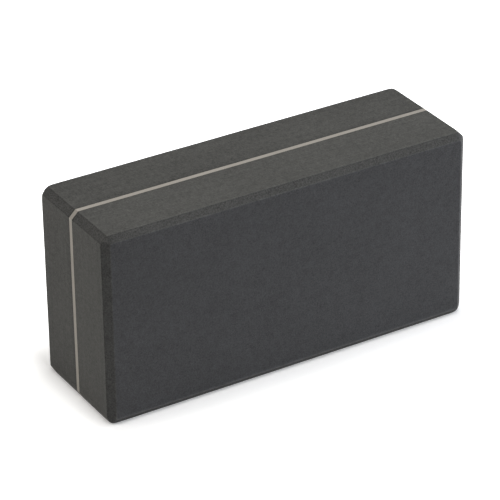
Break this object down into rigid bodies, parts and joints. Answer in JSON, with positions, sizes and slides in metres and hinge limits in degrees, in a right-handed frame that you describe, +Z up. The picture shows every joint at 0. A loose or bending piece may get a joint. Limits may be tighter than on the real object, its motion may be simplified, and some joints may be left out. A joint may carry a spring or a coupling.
{
  "type": "yoga block",
  "caption": "Laminated foam yoga block: dark foam slabs glued to a thin pale centre sheet, all outer edges bevelled; a firm prop that supports a hand, foot or seat in a pose.",
  "frame": {"origin": "centre of the underside, with the block standing on one of its long narrow sides", "axes": "+X along the length, +Y through the layers from the front slab to the rear slab, +Z up"},
  "size_m": [0.22, 0.07, 0.11],
  "materials": {
    "charcoal_foam": "matte closed-cell foam",
    "pale_foam": "matte closed-cell foam",
    "contact_glue": "dried contact adhesive"
  },
  "bodies": {
    "root": {"front_foam_slab": "charcoal_foam", "front_glue_film": "contact_glue", "pale_centre_sheet": "pale_foam", "rear_glue_film": "contact_glue", "rear_foam_slab": "charcoal_foam"}
  },
  "joints": []
}
